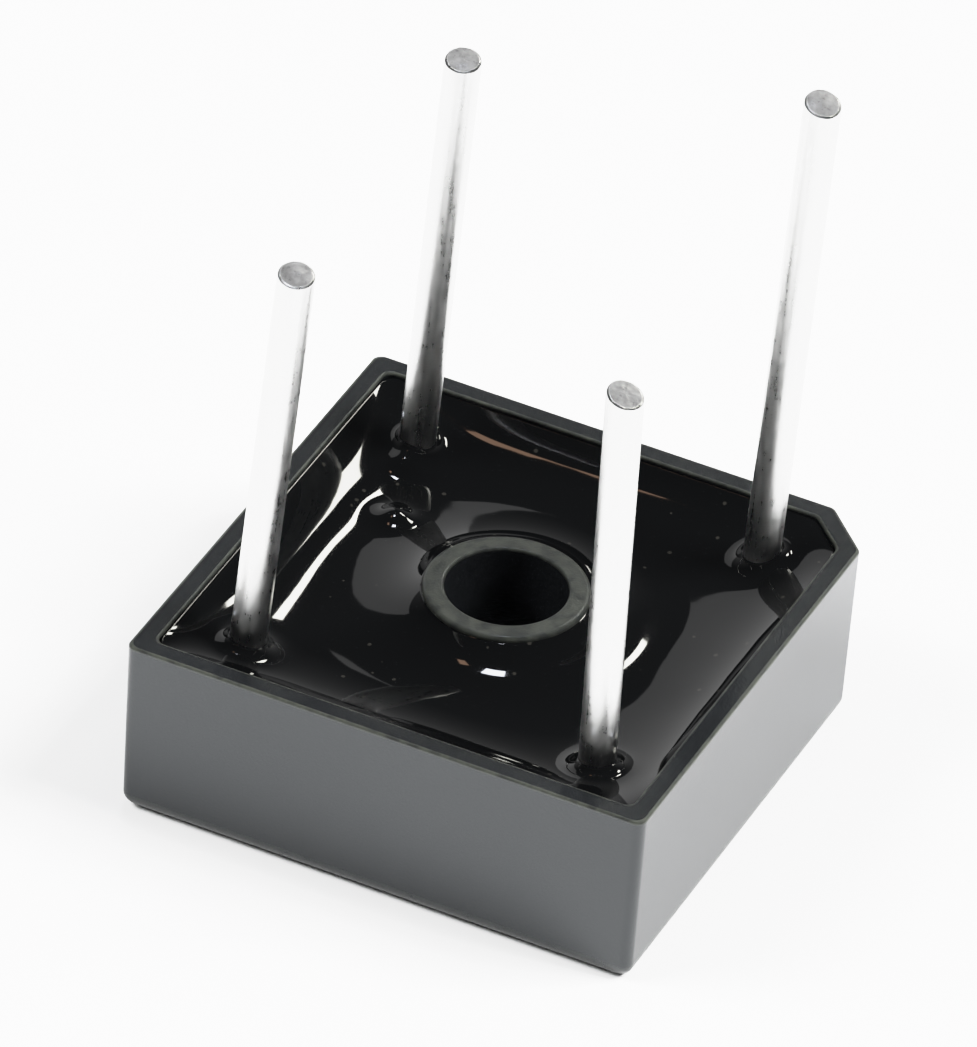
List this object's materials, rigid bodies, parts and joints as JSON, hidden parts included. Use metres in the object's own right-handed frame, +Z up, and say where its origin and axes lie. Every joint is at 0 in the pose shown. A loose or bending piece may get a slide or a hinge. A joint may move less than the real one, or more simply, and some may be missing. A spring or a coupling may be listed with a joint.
{
  "type": "bridge rectifier",
  "caption": "Square potted bridge rectifier with round wire leads at its corners, one cut corner that marks the positive lead, and a screw hole through its middle.",
  "frame": {"origin": "centre of the mounting hole on the flat mounting face, which the part stands on", "axes": "+Z up along the mounting hole, out of the potted side and along the leads; +X towards the side between the front alternating-current lead and the positive lead; +Y towards the side between the positive lead and the rear alternating-current lead"},
  "size_m": [0.019, 0.019, 0.0253],
  "materials": {
    "case_plastic": "satin moulded plastic with a fine spark-eroded texture",
    "resin": "glossy black casting resin",
    "tinned_copper": "bright hot-dipped tin",
    "copper": "satin rolled copper",
    "silicon": "polished silicon",
    "solder": "dull solder"
  },
  "bodies": {
    "root": {"case": "case_plastic", "potting": "resin", "lead_minus": "tinned_copper", "lead_ac_back": "tinned_copper", "lead_ac_front": "tinned_copper", "lead_plus": "tinned_copper", "head_solder_minus": "solder", "head_solder_ac_back": "solder", "head_solder_ac_front": "solder", "head_solder_plus": "solder", "strap_minus": "copper", "strap_ac_back": "copper", "strap_ac_front": "copper", "strap_plus": "copper", "die_front": "silicon", "die_right": "silicon", "die_back": "silicon", "die_left": "silicon", "lower_solder_front": "solder", "lower_solder_right": "solder", "lower_solder_back": "solder", "lower_solder_left": "solder", "upper_solder_front": "solder", "upper_solder_right": "solder", "upper_solder_back": "solder", "upper_solder_left": "solder"}
  },
  "joints": []
}
